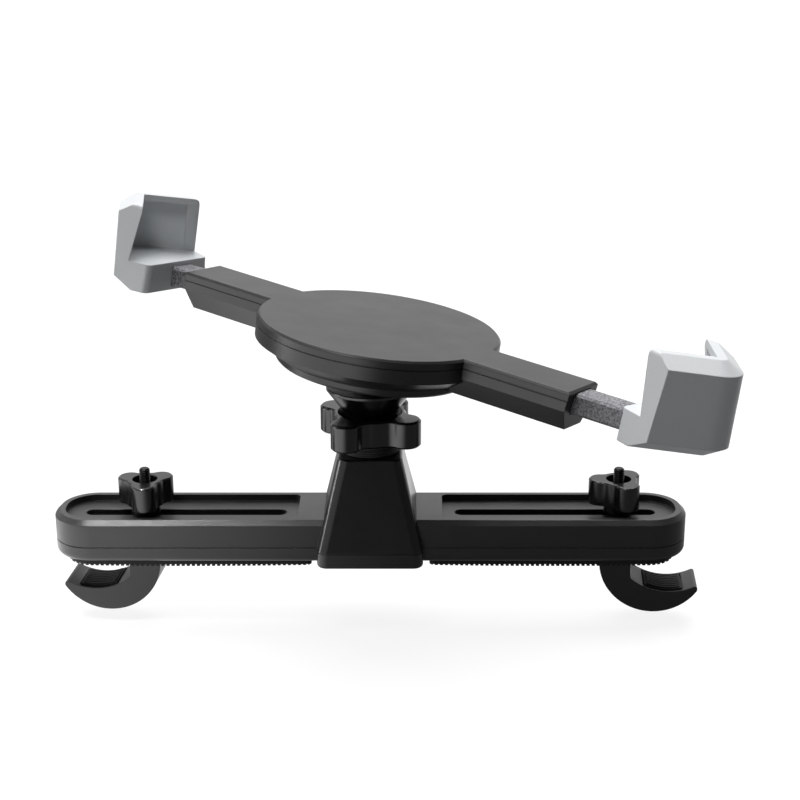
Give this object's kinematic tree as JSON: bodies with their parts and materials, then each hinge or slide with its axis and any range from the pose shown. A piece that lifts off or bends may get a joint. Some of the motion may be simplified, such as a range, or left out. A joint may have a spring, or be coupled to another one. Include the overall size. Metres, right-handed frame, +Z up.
{
  "type": "headrest tablet mount",
  "caption": "Car headrest tablet mount: slotted bar with post hooks and clamp knobs, a tower with a ball joint, and a dish with diagonal sliding arms ending in corner clamps.",
  "frame": {"origin": "middle of the flat underside of the tower's foot, on the axis of the ball joint's socket", "axes": "+X along the bar, +Y away from the viewer across the bar, +Z up through the tower to the ball"},
  "size_m": [0.231, 0.1493, 0.1386],
  "materials": {
    "case_plastic": "black moulded plastic with a fine satin grain",
    "rubber": "matte black rubber",
    "screw_steel": "plated steel",
    "washer_steel": "black washer",
    "knob_plastic": "black plastic, slightly polished",
    "joint_plastic": "black acetal",
    "holder_plastic": "black moulded plastic, fine grain",
    "slide_plastic": "dark grey plastic with a grainy moulded skin",
    "clamp_plastic": "light cool grey plastic, satin",
    "spring_steel": "bare spring steel",
    "stud_steel": "black oxide on steel",
    "hook_plastic": "black moulded plastic"
  },
  "bodies": {
    "base": {"upper_shell": "case_plastic", "lower_shell": "case_plastic", "grip_strip_left": "rubber", "grip_strip_right": "rubber", "shell_screws": "screw_steel", "socket": "knob_plastic", "socket_screw": "screw_steel"},
    "nut": {"clamp_nut": "knob_plastic"},
    "ball": {"pivot_ball": "joint_plastic"},
    "stem": {"ball_stem": "joint_plastic", "swivel_washer": "screw_steel", "swivel_screw": "screw_steel"},
    "holder": {"holder_back": "holder_plastic", "holder_front": "holder_plastic", "case_screws": "screw_steel", "friction_leaf_near": "spring_steel", "friction_leaf_far": "spring_steel"},
    "arm_near": {"arm_bar_near": "slide_plastic", "corner_clamp_near": "clamp_plastic", "arm_screw_near": "screw_steel"},
    "arm_far": {"arm_bar_far": "slide_plastic", "corner_clamp_far": "clamp_plastic", "arm_screw_far": "screw_steel"},
    "washer_left": {"washer_left": "washer_steel"},
    "knob_left": {"knob_left": "knob_plastic", "knob_nut_left": "screw_steel"},
    "stud_left": {"stud_left": "stud_steel"},
    "hook_left": {"hook_left": "hook_plastic", "hook_pad_left": "rubber"},
    "washer_right": {"washer_right": "washer_steel"},
    "knob_right": {"knob_right": "knob_plastic", "knob_nut_right": "screw_steel"},
    "stud_right": {"stud_right": "stud_steel"},
    "hook_right": {"hook_right": "hook_plastic", "hook_pad_right": "rubber"}
  },
  "joints": [
    {"name": "clamp_nut_turn", "type": "hinge", "parent": "base", "child": "nut", "pos_m": [0, 0, 0.0463], "axis": [0, 0, 1], "range_deg": [-300, 0]},
    {"name": "ball_tilt_x", "type": "hinge", "parent": "base", "child": "ball", "pos_m": [0, 0, 0.0565], "axis": [1, 0, 0], "range_deg": [-14, 14]},
    {"name": "ball_tilt_y", "type": "hinge", "parent": "ball", "child": "stem", "pos_m": [0, 0, 0.0565], "axis": [0, 1, 0], "range_deg": [-21, 7]},
    {"name": "holder_swivel", "type": "hinge", "parent": "stem", "child": "holder", "pos_m": [0, 0, 0.0565], "axis": [0.1271, -0.0052, 0.9919], "continuous": true},
    {"name": "arm_near_slide", "type": "slide", "parent": "holder", "child": "arm_near", "axis": [0.8174, -0.5659, -0.1077], "range_m": [-0.017, 0.0195]},
    {"name": "arm_far_slide", "type": "slide", "parent": "holder", "child": "arm_far", "axis": [-0.8174, 0.5659, 0.1077], "range_m": [-0.008, 0.0295]},
    {"name": "left_hook_travel", "type": "slide", "parent": "base", "child": "washer_left", "axis": [1, 0, 0], "range_m": [-0.0185, 0.0475]},
    {"name": "left_knob_turn", "type": "hinge", "parent": "washer_left", "child": "knob_left", "pos_m": [-0.0805, 0, 0.021], "axis": [0, 0, 1], "range_deg": [0, 2520]},
    {"name": "left_hook_lift", "type": "slide", "parent": "washer_left", "child": "stud_left", "axis": [0, 0, 1], "range_m": [-0.005, 0]},
    {"name": "left_hook_swivel", "type": "hinge", "parent": "stud_left", "child": "hook_left", "pos_m": [-0.0805, 0, -0.005], "axis": [0, 0, 1], "continuous": true},
    {"name": "right_hook_travel", "type": "slide", "parent": "base", "child": "washer_right", "axis": [1, 0, 0], "range_m": [-0.0555, 0.0105]},
    {"name": "right_knob_turn", "type": "hinge", "parent": "washer_right", "child": "knob_right", "pos_m": [0.0885, 0, 0.021], "axis": [0, 0, 1], "range_deg": [0, 2520]},
    {"name": "right_hook_lift", "type": "slide", "parent": "washer_right", "child": "stud_right", "axis": [0, 0, 1], "range_m": [-0.005, 0]},
    {"name": "right_hook_swivel", "type": "hinge", "parent": "stud_right", "child": "hook_right", "pos_m": [0.0885, 0, -0.005], "axis": [0, 0, 1], "continuous": true}
  ],
  "couplings": [
    {"joint": "left_hook_lift", "follows": "left_knob_turn", "m_per_rad": -0.00011141},
    {"joint": "right_hook_lift", "follows": "right_knob_turn", "m_per_rad": -0.00011141}
  ]
}
